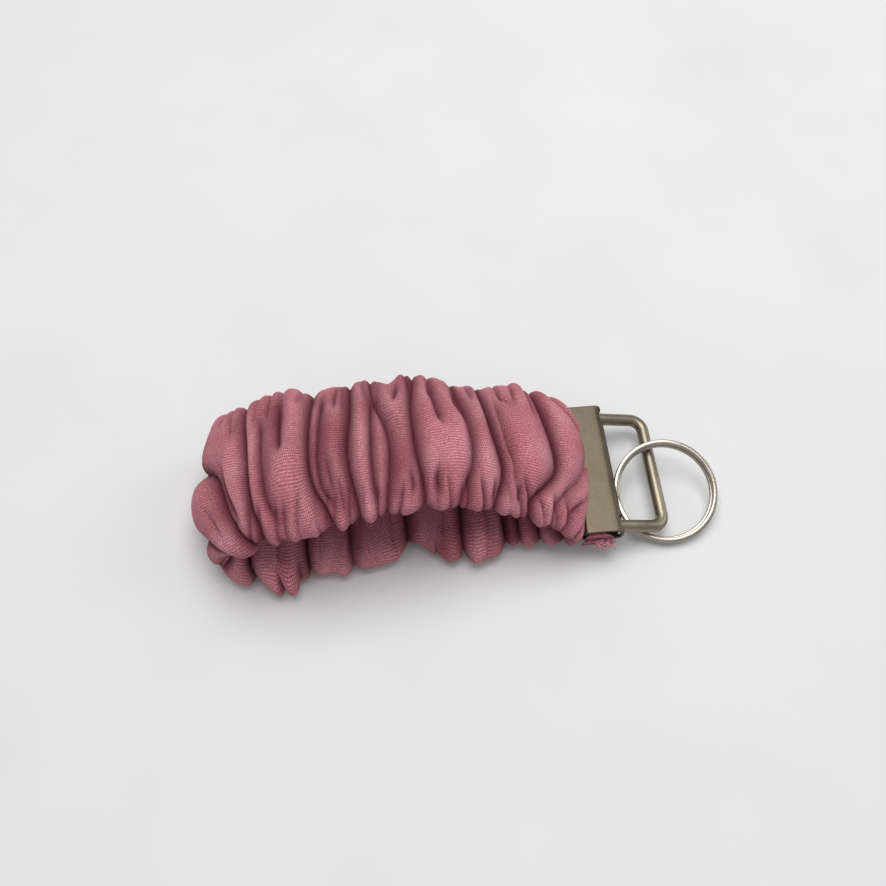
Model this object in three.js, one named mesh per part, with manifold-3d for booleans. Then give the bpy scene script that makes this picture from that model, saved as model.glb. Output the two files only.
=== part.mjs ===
// Gathered wristlet key fob: a stretchy loop closed by a folded metal clamp, with a swing loop and a split ring.
// Millimetres, +Z up. The strap lies along X with its fold at -X and the split ring at +X; the surface that it
// lies on is Z = 0, and the origin is on that surface under the middle of the clamp-to-fold length.
import * as THREE from 'three';
import { mergeVertices } from 'three/addons/utils/BufferGeometryUtils.js';
import Module from 'manifold-3d';

const wasm = await Module();
wasm.setup();

// Shared clearance between pieces that touch on the real object.
const GAP = 0.3;

// Strap: an elastic band inside a gathered fabric sleeve.
const ELASTIC_WIDTH = 30;
const ELASTIC_THICKNESS = 1.1;
const SLEEVE_PUFF = 3; // how far the gathers stand past each edge of the elastic
const SLEEVE_THICKNESS = 7.6; // of the gathered sleeve over the elastic, face to face
const GATHER_SIZE = 0.45; // height of the plain scallops that stand for the gathers
const LOOP_LENGTH = 84.4; // from the clamp's mouth to the outside of the fold
const LOOP_HEIGHT = 28; // from the surface to the highest point of the upper run
const LOOP_MIDDLE = 13.8; // distance of the loop's middle from the origin, towards the fold

// Clamp: one folded sheet with toothed lips, whose fold holds the base bar of the swing loop.
const SHEET = 0.7;
const CLAMP_OVERHANG = 1; // how far the clamp is wider than the elastic on each side
const CLAMP_DEPTH = 9; // from the mouth to the outside of the fold
const FOLD_CLEARANCE = 0.3; // around the base bar inside the fold
const TOOTH_PITCH = 2;
const TOOTH_HEIGHT = 0.7;
const LIP_GAP = 1.9; // between the two lips, tooth tip to tooth tip
const CLAMP_PLANE = 7; // height of the clamp's middle plane
const EAR = 0.55; // metal left outside each slot in the fold
const SLOT_CLEARANCE = 0.25;

// Swing loop: a rectangle of round wire.
const WIRE = 2.8;
const LOOP_REACH = 12.6; // from the base bar to the crossbar, centre to centre
const WIRE_CORNER = 2.9; // bend radius of the wire's centre line at the crossbar
const BASE_CORNER = 1.6; // and at the base bar
const SWING = THREE.MathUtils.degToRad(12.6); // each way from the clamp's middle plane
const BUTT_GAP = 0.3; // between the wire's two ends, in the fold

// Split ring: two turns of flattened wire.
const RING_DIAMETER = 24;
const RING_BAND = 1.6; // across the wire, in the ring's plane
const RING_TURN = 0.95; // thickness of one turn
const TURN_GAP = 0.15;
const JOG = THREE.MathUtils.degToRad(28); // the stretch where one turn steps up to the next
const RING_AHEAD = 2; // centre of the ring beyond the crossbar
const RING_ASIDE = 5.2; // centre of the ring to the near side of the strap's middle
const RING_TURNED = THREE.MathUtils.degToRad(215); // where the ring's wire starts, from +X
const RING_OFF_FLOOR = 0.2; // so that the strap alone carries the wristlet

// Places worked out from the sizes above.
const clampWidth = ELASTIC_WIDTH + 2 * CLAMP_OVERHANG;
const foldInner = WIRE / 2 + FOLD_CLEARANCE;
const foldOuter = foldInner + SHEET;
const mouthX = LOOP_LENGTH / 2 - LOOP_MIDDLE;
const foldX = mouthX + CLAMP_DEPTH - foldOuter;
const flexX = mouthX - GAP;
const flexRadius = Math.hypot(foldOuter, GAP) + GAP;
const armY = clampWidth / 2 - EAR - SLOT_CLEARANCE - WIRE / 2;
const stackHalf = foldInner - GAP;

const materials = {
  sleeve: new THREE.MeshStandardMaterial({ color: 0xb9707f, roughness: 0.9, metalness: 0 }),
  elastic: new THREE.MeshStandardMaterial({ color: 0xe9e6e0, roughness: 0.8, metalness: 0 }),
  thread: new THREE.MeshStandardMaterial({ color: 0xc9818f, roughness: 0.7, metalness: 0 }),
  satinNickel: new THREE.MeshStandardMaterial({ color: 0x9b907d, roughness: 0.38, metalness: 1 }),
  brightNickel: new THREE.MeshStandardMaterial({ color: 0xb5aa9c, roughness: 0.2, metalness: 1 }),
};

const wristlet = new THREE.Group();

function addPiece(name, geometry, material) {
  const mesh = new THREE.Mesh(geometry, material);
  mesh.name = name;
  wristlet.add(mesh);
  return mesh;
}

// A closed surface through a list of rings, each with the same number of points. A second list of rings makes
// a bore through it; without one, both ends are closed by fans.
function skin(rings, boreRings = null) {
  const around = rings[0].length;
  const count = rings.length;
  const points = [...rings.flat(), ...(boreRings ? boreRings.flat() : [])];
  const triangles = [];
  const side = (first, flip) => {
    for (let i = 0; i < count - 1; i++) {
      for (let j = 0; j < around; j++) {
        const a = first + i * around + j;
        const b = first + i * around + ((j + 1) % around);
        const c = b + around;
        const d = a + around;
        if (flip) triangles.push(a, b, c, a, c, d);
        else triangles.push(a, c, b, a, d, c);
      }
    }
  };
  side(0, false);
  const last = (count - 1) * around;
  if (boreRings) {
    const bore = count * around;
    side(bore, true);
    for (let j = 0; j < around; j++) {
      const k = (j + 1) % around;
      triangles.push(j, bore + k, bore + j, j, k, bore + k);
      triangles.push(last + j, bore + last + k, last + k, last + j, bore + last + j, bore + last + k);
    }
  } else {
    for (let j = 1; j < around - 1; j++) {
      triangles.push(0, j, j + 1);
      triangles.push(last, last + j + 1, last + j);
    }
  }
  const geometry = new THREE.BufferGeometry();
  geometry.setAttribute('position', new THREE.Float32BufferAttribute(points.flatMap((p) => [p.x, p.y, p.z]), 3));
  geometry.setIndex(triangles);
  return geometry;
}

function toSolid(geometry) {
  let shape = geometry.clone();
  shape.deleteAttribute('normal');
  shape.deleteAttribute('uv');
  shape = mergeVertices(shape, 1e-5);
  const vertProperties = new Float32Array(shape.getAttribute('position').array);
  const triVerts = new Uint32Array(shape.getIndex().array);
  return new wasm.Manifold(new wasm.Mesh({ numProp: 3, vertProperties, triVerts }));
}

function toGeometry(solid) {
  const { vertProperties, triVerts } = solid.getMesh();
  const geometry = new THREE.BufferGeometry();
  geometry.setAttribute('position', new THREE.Float32BufferAttribute(vertProperties, 3));
  geometry.setIndex(new THREE.Uint32BufferAttribute(triVerts, 1));
  return geometry;
}

function cut(geometry, ...tools) {
  return toGeometry(tools.reduce((solid, tool) => solid.subtract(toSolid(tool)), toSolid(geometry)));
}

// A prism whose outline is drawn in X and Z, spanning lowY to highY.
function prismAlongY(outline, lowY, highY, curveSegments = 8) {
  const options = { depth: highY - lowY, bevelEnabled: false, curveSegments };
  return new THREE.ExtrudeGeometry(outline, options).rotateX(Math.PI / 2).translate(0, highY, 0);
}

function boxBetween([x0, y0, z0], [x1, y1, z1]) {
  const box = new THREE.BoxGeometry(x1 - x0, y1 - y0, z1 - z0);
  return box.translate((x0 + x1) / 2, (y0 + y1) / 2, (z0 + z1) / 2);
}

// The strap's centre line, seen from the side: from the clamp along the upper run, round the fold, and back
// along the surface. Heights are those of the elastic.
const lowRun = SLEEVE_THICKNESS / 2 - GATHER_SIZE - 0.05; // so that every gather is pressed flat underneath
const highRun = LOOP_HEIGHT - SLEEVE_THICKNESS / 2;
const foldEnd = mouthX - LOOP_LENGTH + SLEEVE_THICKNESS / 2;
const strapStart = flexX - flexRadius - 0.2;
const strapPath = new THREE.CatmullRomCurve3([
  new THREE.Vector3(strapStart, 0, CLAMP_PLANE + 2.1),
  new THREE.Vector3(mouthX - 0.13 * LOOP_LENGTH, 0, CLAMP_PLANE + 0.37 * (highRun - CLAMP_PLANE)),
  new THREE.Vector3(mouthX - 0.27 * LOOP_LENGTH, 0, CLAMP_PLANE + 0.75 * (highRun - CLAMP_PLANE)),
  new THREE.Vector3(mouthX - 0.44 * LOOP_LENGTH, 0, highRun),
  new THREE.Vector3(mouthX - 0.62 * LOOP_LENGTH, 0, highRun - 0.8),
  new THREE.Vector3(mouthX - 0.77 * LOOP_LENGTH, 0, lowRun + 0.82 * (highRun - lowRun)),
  new THREE.Vector3(foldEnd + 3.4, 0, lowRun + 0.6 * (highRun - lowRun)),
  new THREE.Vector3(foldEnd, 0, lowRun + 0.34 * (highRun - lowRun)),
  new THREE.Vector3(foldEnd + 3.2, 0, lowRun + 0.09 * (highRun - lowRun)),
  new THREE.Vector3(mouthX - 0.82 * LOOP_LENGTH, 0, lowRun),
  new THREE.Vector3(mouthX - 0.5 * LOOP_LENGTH, 0, lowRun),
  new THREE.Vector3(mouthX - 0.15 * LOOP_LENGTH, 0, lowRun + 0.2),
  new THREE.Vector3(strapStart, 0, CLAMP_PLANE - 2.1),
]);

const STATIONS = 48;
const SLEEVE_SIDES = 20;

// Flattened superellipse rings along the strap. halfWidth and halfThick are functions of the station.
function strapRings(halfWidth, halfThick, power, sides, trim = 0) {
  const rings = [];
  for (let i = 0; i <= STATIONS; i++) {
    const along = trim + ((1 - 2 * trim) * i) / STATIONS;
    const centre = strapPath.getPointAt(along);
    const tangent = strapPath.getTangentAt(along);
    const outward = new THREE.Vector3(tangent.z, 0, -tangent.x);
    const ring = [];
    for (let j = 0; j < sides; j++) {
      const angle = (2 * Math.PI * (j + 0.5)) / sides;
      const across = Math.sign(Math.cos(angle)) * Math.abs(Math.cos(angle)) ** (2 / power);
      const through = Math.sign(Math.sin(angle)) * Math.abs(Math.sin(angle)) ** (2 / power);
      const point = centre.clone().addScaledVector(outward, halfThick(along, i) * through);
      point.y = halfWidth(along, i) * across;
      ring.push(point);
    }
    rings.push(ring);
  }
  return rings;
}

// Share of the full puffiness: small where the strap is pinched by the clamp, full a little way off.
function puff(along) {
  const length = strapPath.getLength();
  const fromClamp = Math.min(along, 1 - along) * length;
  return THREE.MathUtils.smoothstep(fromClamp, 0, 11);
}

// Fabric sleeve: a gathered tube, open through its middle for the elastic, and flat where it lies on the surface.
function buildSleeve() {
  const scallop = (i) => (i % 2 ? GATHER_SIZE : -GATHER_SIZE);
  const boreHalfThick = ELASTIC_THICKNESS / 2 + GAP;
  const boreHalfWidth = ELASTIC_WIDTH / 2 + GAP;
  const pinched = boreHalfThick + SHEET;
  const halfThick = (along, i) => {
    const full = SLEEVE_THICKNESS / 2 - pinched + scallop(i);
    return pinched + full * puff(along);
  };
  const halfWidth = (along, i) => boreHalfWidth + SHEET + (SLEEVE_PUFF - SHEET - GAP + scallop(i)) * puff(along);
  const outer = strapRings(halfWidth, halfThick, 2.7, SLEEVE_SIDES);
  for (const ring of outer) for (const point of ring) point.z = Math.max(point.z, 0);
  const bore = strapRings(() => boreHalfWidth, () => boreHalfThick, 14, SLEEVE_SIDES);
  addPiece('fabric_sleeve', skin(outer, bore), materials.sleeve);
}

// Elastic band: a flat strip that runs all the way through the sleeve. Its four corners are almost square.
function buildElastic() {
  const strip = strapRings(() => ELASTIC_WIDTH / 2, () => ELASTIC_THICKNESS / 2, 60, 4, 0.002);
  addPiece('elastic_band', skin(strip), materials.elastic);
}

// The outline of the clamp's sheet, folded round the base bar, with its two lips turned in at the mouth.
function clampOutline() {
  const mouth = mouthX - foldX;
  const lip = LIP_GAP / 2;
  const outline = new THREE.Shape();
  outline.moveTo(mouth, foldOuter);
  outline.lineTo(0, foldOuter);
  outline.absarc(0, 0, foldOuter, Math.PI / 2, -Math.PI / 2, true);
  outline.lineTo(mouth, -foldOuter);
  outline.lineTo(mouth, -lip);
  outline.lineTo(mouth + SHEET, -lip);
  outline.lineTo(mouth + SHEET, -foldInner);
  outline.lineTo(0, -foldInner);
  outline.absarc(0, 0, foldInner, -Math.PI / 2, Math.PI / 2, false);
  outline.lineTo(mouth + SHEET, foldInner);
  outline.lineTo(mouth + SHEET, lip);
  outline.lineTo(mouth, lip);
  outline.closePath();
  return outline;
}

// Saw-toothed cutter that leaves a row of teeth on both lips.
function toothCutter() {
  const teeth = Math.floor((clampWidth - TOOTH_PITCH) / TOOTH_PITCH);
  const start = (-teeth * TOOTH_PITCH) / 2;
  const tip = LIP_GAP / 2 - 0.05;
  const root = tip + TOOTH_HEIGHT;
  const upper = [];
  for (let k = 0; k < teeth; k++) {
    const y = start + k * TOOTH_PITCH;
    upper.push([y + 0.1 * TOOTH_PITCH, tip], [y + 0.5 * TOOTH_PITCH, root], [y + 0.9 * TOOTH_PITCH, tip]);
  }
  const lower = upper.map(([y, z]) => [y, -z]).reverse();
  const outline = new THREE.Shape([...upper, ...lower].map(([y, z]) => new THREE.Vector2(y, z)));
  const prism = new THREE.ExtrudeGeometry(outline, { depth: SHEET + 0.4, bevelEnabled: false });
  return prism.rotateX(Math.PI / 2).rotateZ(Math.PI / 2).translate(mouthX - foldX - 0.2, 0, 0);
}

// The space that one arm of the swing loop sweeps through the fold.
function slotCutter(side) {
  const half = WIRE / 2 + SLOT_CLEARANCE;
  const far = 3 * foldOuter;
  const [sin, cos] = [Math.sin(SWING), Math.cos(SWING)];
  const upper = [new THREE.Vector2(-sin * half, cos * half)];
  upper.push(new THREE.Vector2(upper[0].x + cos * far, upper[0].y + sin * far));
  const lower = upper.map((point) => new THREE.Vector2(point.x, -point.y)).reverse();
  const middle = side * armY;
  return prismAlongY(new THREE.Shape([...upper, ...lower]), middle - half, middle + half);
}

function buildClamp() {
  const sheet = prismAlongY(clampOutline(), -clampWidth / 2, clampWidth / 2, 16);
  const clamp = cut(sheet, toothCutter(), slotCutter(1), slotCutter(-1));
  addPiece('crimp_clamp', clamp, materials.satinNickel).position.set(foldX, 0, CLAMP_PLANE);
}

// A round wire or other section carried along a route in the XY plane. Each step of the route has its point and
// its direction; the section is a list of [outward, up] offsets.
function carry(route, section) {
  return skin(route.map(({ point, direction }) => section.map(([out, up]) => {
    const outward = new THREE.Vector3(direction.y, -direction.x, 0);
    return point.clone().addScaledVector(outward, out).add(new THREE.Vector3(0, 0, up));
  })));
}

// The swing loop's wire, from the middle of the base bar round to the middle of the base bar.
function loopRoute() {
  const route = [];
  const add = (x, y, angle) => {
    const direction = new THREE.Vector3(Math.cos(angle), Math.sin(angle), 0);
    route.push({ point: new THREE.Vector3(x, y, 0), direction });
  };
  const bend = (x, y, radius, from) => {
    const steps = 6;
    for (let k = 0; k <= steps; k++) {
      const angle = from + ((Math.PI / 2) * k) / steps;
      add(x + radius * Math.sin(angle), y - radius * Math.cos(angle), angle);
    }
  };
  add(0, -BUTT_GAP / 2, -Math.PI / 2);
  bend(BASE_CORNER, -armY + BASE_CORNER, BASE_CORNER, -Math.PI / 2);
  bend(LOOP_REACH - WIRE_CORNER, -armY + WIRE_CORNER, WIRE_CORNER, 0);
  bend(LOOP_REACH - WIRE_CORNER, armY - WIRE_CORNER, WIRE_CORNER, Math.PI / 2);
  bend(BASE_CORNER, armY - BASE_CORNER, BASE_CORNER, Math.PI);
  add(0, BUTT_GAP / 2, 1.5 * Math.PI);
  return route;
}

function roundSection(diameter, sides) {
  return Array.from({ length: sides }, (_, k) => {
    const angle = (2 * Math.PI * (k + 0.5)) / sides;
    return [(diameter / 2) * Math.cos(angle), (diameter / 2) * Math.sin(angle)];
  });
}

function buildSwingLoop() {
  const loop = addPiece('swing_loop', carry(loopRoute(), roundSection(WIRE, 12)), materials.brightNickel);
  loop.position.set(foldX, 0, CLAMP_PLANE);
  loop.rotation.y = SWING;
}

// The split ring's wire: one turn low, a step, and one turn high.
function ringRoute() {
  const radius = (RING_DIAMETER - RING_BAND) / 2;
  const rise = (RING_TURN + TURN_GAP) / 2;
  const sweep = 4 * Math.PI - JOG - THREE.MathUtils.degToRad(3);
  const steps = 72;
  return Array.from({ length: steps + 1 }, (_, k) => {
    const turned = (sweep * k) / steps;
    const angle = turned + RING_TURNED;
    const height = rise * (2 * THREE.MathUtils.smoothstep(turned, 2 * Math.PI - JOG, 2 * Math.PI) - 1);
    const point = new THREE.Vector3(radius * Math.cos(angle), radius * Math.sin(angle), height);
    return { point, direction: new THREE.Vector3(-Math.sin(angle), Math.cos(angle), 0) };
  });
}

// The ring leans: its near side is just clear of the surface and its far side passes over the crossbar.
function buildSplitRing() {
  const [halfBand, halfTurn] = [RING_BAND / 2, RING_TURN / 2];
  const soft = 0.6;
  const corners = [[1, -soft], [1, soft], [soft, 1], [-soft, 1], [-1, soft], [-1, -soft], [-soft, -1], [soft, -1]];
  const section = corners.map(([out, up]) => [out * halfBand, up * halfTurn]);
  const ring = addPiece('split_ring', carry(ringRoute(), section), materials.brightNickel);
  const halfHeight = RING_TURN + TURN_GAP / 2;
  const barX = foldX + LOOP_REACH * Math.cos(SWING);
  const barTop = CLAMP_PLANE - LOOP_REACH * Math.sin(SWING) + WIRE / 2;
  const reach = Math.sqrt((RING_DIAMETER / 2 - RING_BAND) ** 2 - RING_AHEAD ** 2);
  const lean = Math.asin((barTop + GAP) / (RING_DIAMETER / 2 + reach));
  const lift = RING_OFF_FLOOR + (RING_DIAMETER / 2) * Math.sin(lean) + halfHeight * Math.cos(lean);
  ring.position.set(barX + RING_AHEAD, -RING_ASIDE, lift);
  ring.rotation.x = lean;
}

// Inside the clamp: both ends of the strap, flattened and crimped as one stack, with a row of tacking stitches in
// a groove along the top, and the raw edge of the fabric that shows at the clamp's open near end.
const stackStart = mouthX + SHEET + GAP;
const stackEnd = foldX - WIRE / 2 - GAP;
const tackX = (stackStart + stackEnd) / 2;
const THREAD = 0.5;
const TACK_DEPTH = 0.9;

function buildStrapEnds() {
  const [halfWidth, grooveHalf] = [ELASTIC_WIDTH / 2, THREAD / 2 + GAP];
  const low = CLAMP_PLANE - stackHalf;
  const high = CLAMP_PLANE + stackHalf;
  const stack = boxBetween([stackStart, -halfWidth, low], [stackEnd, halfWidth, high]);
  const groove = boxBetween([tackX - grooveHalf, -halfWidth - 1, high - TACK_DEPTH], [tackX + grooveHalf, halfWidth + 1, high + 1]);
  addPiece('crimped_strap_ends', cut(stack, groove), materials.sleeve);
}

function buildTackThread() {
  const length = ELASTIC_WIDTH - 3;
  const thread = addPiece('end_tack_thread', new THREE.CylinderGeometry(THREAD / 2, THREAD / 2, length, 8), materials.thread);
  thread.position.set(tackX, 0, CLAMP_PLANE + stackHalf - TACK_DEPTH + GAP + THREAD / 2);
}

function buildRawEdge() {
  const fringe = new THREE.Shape();
  const teeth = 4;
  const pitch = (stackEnd - stackStart) / teeth;
  const top = CLAMP_PLANE + 0.3;
  const [shortEnd, longEnd] = [CLAMP_PLANE - 1.6, CLAMP_PLANE - 3];
  fringe.moveTo(stackStart, top);
  for (let k = 0; k < teeth; k++) {
    fringe.lineTo(stackStart + (k + 0.1) * pitch, shortEnd);
    fringe.lineTo(stackStart + (k + 0.5) * pitch, longEnd);
    fringe.lineTo(stackStart + (k + 0.9) * pitch, shortEnd);
  }
  fringe.lineTo(stackEnd, top);
  fringe.closePath();
  const outside = -clampWidth / 2 - GAP;
  addPiece('raw_edge_fringe', prismAlongY(fringe, outside - 1.2, outside), materials.sleeve);
}

buildSleeve();
buildElastic();
buildClamp();
buildSwingLoop();
buildSplitRing();
buildStrapEnds();
buildTackThread();
buildRawEdge();

export default wristlet;
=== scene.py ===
"""A wristlet keychain: a gathered jersey loop over elastic, a crimp clamp, a swing loop and a split ring."""
import logging
import math
from dataclasses import dataclass, field
from enum import Enum

import bmesh
import bpy
import numpy as np
from mathutils import Matrix, Vector


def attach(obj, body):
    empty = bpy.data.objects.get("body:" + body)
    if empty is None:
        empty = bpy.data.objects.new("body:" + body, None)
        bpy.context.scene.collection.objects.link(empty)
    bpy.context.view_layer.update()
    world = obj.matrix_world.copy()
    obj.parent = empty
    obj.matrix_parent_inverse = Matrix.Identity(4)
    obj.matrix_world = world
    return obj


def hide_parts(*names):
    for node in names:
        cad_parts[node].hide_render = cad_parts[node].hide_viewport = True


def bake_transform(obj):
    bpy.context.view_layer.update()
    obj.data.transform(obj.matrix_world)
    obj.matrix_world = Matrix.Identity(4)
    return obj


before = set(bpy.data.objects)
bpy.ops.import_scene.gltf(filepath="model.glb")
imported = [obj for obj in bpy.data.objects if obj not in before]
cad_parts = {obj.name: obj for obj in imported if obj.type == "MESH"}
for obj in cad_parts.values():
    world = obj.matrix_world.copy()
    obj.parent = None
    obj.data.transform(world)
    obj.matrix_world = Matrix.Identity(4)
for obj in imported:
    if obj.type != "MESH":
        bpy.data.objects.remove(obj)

log = logging.getLogger("wristlet")
MM = 0.001
UV_MM = 100.0  # one UV unit is this many millimetres of cloth


# ---------------------------------------------------------------- small helpers


def linear(colour: str) -> tuple[float, float, float, float]:
    """Turns an sRGB hex value into linear red, green, blue and alpha.

    Args:
        colour: six hex digits, with or without a leading #.

    Returns:
        Linear components: c / 12.92 below 0.04045, else ((c + 0.055) / 1.055) to the 2.4.
    """
    text = colour.lstrip("#")
    parts = [int(text[k:k + 2], 16) / 255 for k in (0, 2, 4)]
    return (*[c / 12.92 if c <= 0.04045 else ((c + 0.055) / 1.055) ** 2.4 for c in parts], 1.0)


def smooth(x: np.ndarray, low: float = 0.0, high: float = 1.0) -> np.ndarray:
    """Smooth step: t * t * (3 - 2t), with t the share of the way from low to high, held in 0 to 1.

    Args:
        x: the values.
        low: where the step starts.
        high: where it ends.

    Returns:
        The step at each value, from 0 to 1.
    """
    t = np.clip((np.asarray(x, float) - low) / (high - low), 0, 1)
    return t * t * (3 - 2 * t)


def add_node(tree: bpy.types.NodeTree, kind: str, inputs: dict | None = None,
             **settings: object) -> bpy.types.Node:
    """Adds one shader node with its settings, values and links.

    Args:
        tree: the material's node tree.
        kind: the node's type name.
        inputs: for each input, by name or number, a value or the output socket that feeds it.
        settings: properties of the node itself, such as operation.

    Returns:
        The new node.
    """
    node = tree.nodes.new(kind)
    for name, value in settings.items():
        setattr(node, name, value)
    for key, value in (inputs or {}).items():
        if isinstance(value, bpy.types.NodeSocket):
            tree.links.new(value, node.inputs[key])
        else:
            node.inputs[key].default_value = value
    return node


def math_node(tree: bpy.types.NodeTree, operation: str, *values: object) -> bpy.types.NodeSocket:
    """Adds a Math node.

    Args:
        tree: the material's node tree.
        operation: the node's operation.
        values: a number or an output socket for each input.

    Returns:
        The node's output.
    """
    return add_node(tree, "ShaderNodeMath", dict(enumerate(values)), operation=operation).outputs[0]


def new_material(name: str) -> tuple[bpy.types.Material, bpy.types.NodeTree, bpy.types.Node]:
    """Makes a material with a Principled shader.

    Args:
        name: the real material's name.

    Returns:
        The material, its node tree, and its Principled node.
    """
    material = bpy.data.materials.new(name)
    material.use_nodes = True
    tree = material.node_tree
    return material, tree, tree.nodes["Principled BSDF"]


def ramp(tree: bpy.types.NodeTree, factor: bpy.types.NodeSocket,
         stops: list[tuple[float, str]]) -> bpy.types.NodeSocket:
    """Adds a colour ramp.

    Args:
        tree: the material's node tree.
        factor: what the ramp reads.
        stops: place and sRGB hex colour of each stop, lowest first.

    Returns:
        The ramp's colour output.
    """
    node = add_node(tree, "ShaderNodeValToRGB", {"Fac": factor})
    elements = node.color_ramp.elements
    while len(elements) < len(stops):
        elements.new(0.5)
    for element, (place, colour) in zip(elements, stops):
        element.position = place
        element.color = linear(colour)
    return node.outputs["Color"]


def mesh_from_grid(name: str, points: np.ndarray, close_rows: bool = False, close_columns: bool = False,
                   uv: np.ndarray | None = None, caps: bool = False, flip: bool = False,
                   fullness: np.ndarray | None = None) -> bpy.types.Object:
    """Makes a mesh object of quads from a grid of points.

    Vertex (i, j) of the grid is number i * columns + j, and quad (i, j) joins (i, j), (i, j+1), (i+1, j+1) and
    (i+1, j).

    Args:
        name: the object's name.
        points: rows by columns by 3, in millimetres.
        close_rows: joins the last row to the first.
        close_columns: joins the last column to the first.
        uv: rows by columns by 2, one per vertex.
        caps: closes the first and the last row, each with one face.
        flip: turns every face round.
        fullness: rows by columns, kept as a vertex attribute of that name.

    Returns:
        The object, smooth shaded, at the origin.
    """
    rows, columns = points.shape[:2]
    i = np.arange(rows if close_rows else rows - 1)[:, None]
    j = np.arange(columns if close_columns else columns - 1)[None, :]
    i1, j1 = (i + 1) % rows, (j + 1) % columns
    corners = [i * columns + j, i * columns + j1, i1 * columns + j1, i1 * columns + j]
    quads = np.stack(corners, -1).reshape(-1, 4)
    if flip:
        quads = quads[:, ::-1]
    faces = quads.tolist()
    if caps:
        first, last = list(range(columns)), list(range((rows - 1) * columns, rows * columns))
        faces += [first, last[::-1]] if flip else [first[::-1], last]
    mesh = bpy.data.meshes.new(name)
    mesh.from_pydata((points.reshape(-1, 3) * MM).tolist(), [], faces)
    mesh.validate()
    mesh.polygons.foreach_set("use_smooth", np.ones(len(mesh.polygons), bool))
    if uv is not None:
        corner = np.zeros(len(mesh.loops), np.int32)
        mesh.loops.foreach_get("vertex_index", corner)
        layer = mesh.uv_layers.new(name="cloth")
        layer.data.foreach_set("uv", uv.reshape(-1, 2)[corner].astype(np.float32).ravel())
    if fullness is not None:
        kept = mesh.attributes.new("fullness", "FLOAT", "POINT")
        kept.data.foreach_set("value", fullness.ravel().astype(np.float32))
    mesh.update()
    piece = bpy.data.objects.new(name, mesh)
    bpy.context.scene.collection.objects.link(piece)
    return piece


def join_meshes(name: str, pieces: list[bpy.types.Object]) -> bpy.types.Object:
    """Joins objects into one, under a new name.

    Args:
        name: the joined object's name.
        pieces: the objects, the first of which takes in the others.

    Returns:
        The joined object.
    """
    with bpy.context.temp_override(active_object=pieces[0], object=pieces[0],
                                   selected_editable_objects=pieces, selected_objects=pieces):
        bpy.ops.object.join()
    pieces[0].name = name
    pieces[0].data.name = name
    return pieces[0]


def spline(points: np.ndarray, count: int) -> tuple[np.ndarray, np.ndarray]:
    """Runs a smooth line through points and spaces it evenly.

    Between two points the line is the cubic with the value and the slope at both, and a point's slope is the mean
    of its neighbours' chord slopes, each weighted by the other chord's parameter length, the root of its length.

    Args:
        points: n by d, in millimetres.
        count: how many points to return.

    Returns:
        The length along the line at each returned point, and the points, count by d.
    """
    step = np.sqrt(np.linalg.norm(np.diff(points, axis=0), axis=1))
    knots = np.r_[0, np.cumsum(step)]
    chord = np.diff(points, axis=0) / step[:, None]
    weighted = chord[:-1] * step[1:, None] + chord[1:] * step[:-1, None]
    slope = np.vstack([chord[:1], weighted / (step[1:] + step[:-1])[:, None], chord[-1:]])
    t = np.linspace(0, knots[-1], 6 * count)
    k = np.clip(np.searchsorted(knots, t, side="right") - 1, 0, len(points) - 2)
    u, h = ((t - knots[k]) / step[k])[:, None], step[k][:, None]
    dense = ((2 * u ** 3 - 3 * u ** 2 + 1) * points[k] + (u ** 3 - 2 * u ** 2 + u) * h * slope[k]
             + (3 * u ** 2 - 2 * u ** 3) * points[k + 1] + (u ** 3 - u ** 2) * h * slope[k + 1])
    length = np.r_[0, np.cumsum(np.linalg.norm(np.diff(dense, axis=0), axis=1))]
    even = np.linspace(0, length[-1], count)
    return even, np.stack([np.interp(even, length, dense[:, d]) for d in range(points.shape[1])], -1)


def value_noise(seed: int, s: np.ndarray, q: np.ndarray, cell_s: float, cell_q: float,
                period_q: float) -> np.ndarray:
    """Smooth random heights in -1 to 1 on the cloth's two lengths, repeating round the girth.

    Each cell's four corners have seeded random heights, mixed by the smooth step of the place in the cell.

    Args:
        seed: picks the pattern.
        s: length along the strap, in millimetres.
        q: length round the girth, in millimetres.
        cell_s: size of a cell along the strap.
        cell_q: size of a cell round the girth, before it is fitted to the period.
        period_q: the girth.

    Returns:
        The height at each place.
    """
    around = max(int(round(period_q / cell_q)), 2)
    a, b = s / cell_s, (q / period_q % 1.0) * around
    ia, ib = np.floor(a).astype(int), np.floor(b).astype(int)
    fa, fb = smooth(a - ia), smooth(b - ib)
    ia = ia - ia.min()
    table = np.random.default_rng(seed).uniform(-1, 1, (ia.max() + 2, around))
    top = table[ia, ib % around] * (1 - fb) + table[ia, (ib + 1) % around] * fb
    low = table[ia + 1, ib % around] * (1 - fb) + table[ia + 1, (ib + 1) % around] * fb
    return top * (1 - fa) + low * fa


def sweep(name: str, route: np.ndarray, across: np.ndarray, up: np.ndarray, section: np.ndarray,
          closed: bool = False) -> bpy.types.Object:
    """Carries a closed section along a route.

    Point (i, j) is route_i + section_j0 * across_i + section_j1 * up_i.

    Args:
        name: the object's name.
        route: n by 3, in millimetres.
        across: n by 3 unit vectors.
        up: n by 3 unit vectors, or one for all.
        section: m by 2, in millimetres.
        closed: joins the end of the route to its start.

    Returns:
        The object.
    """
    up = np.broadcast_to(up, route.shape)
    points = route[:, None] + section[None, :, :1] * across[:, None] + section[None, :, 1:] * up[:, None]
    along = np.gradient(route, axis=0)
    turn = np.cross(across, up)
    area = 0.5 * np.sum(section[:, 0] * np.roll(section[:, 1], -1) - np.roll(section[:, 0], -1) * section[:, 1])
    outward = np.sign(area) * np.sign(np.sum(turn * along)) > 0
    return mesh_from_grid(name, points, close_rows=closed, close_columns=True, caps=not closed, flip=not outward)


# ---------------------------------------------------------------- finishes


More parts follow.
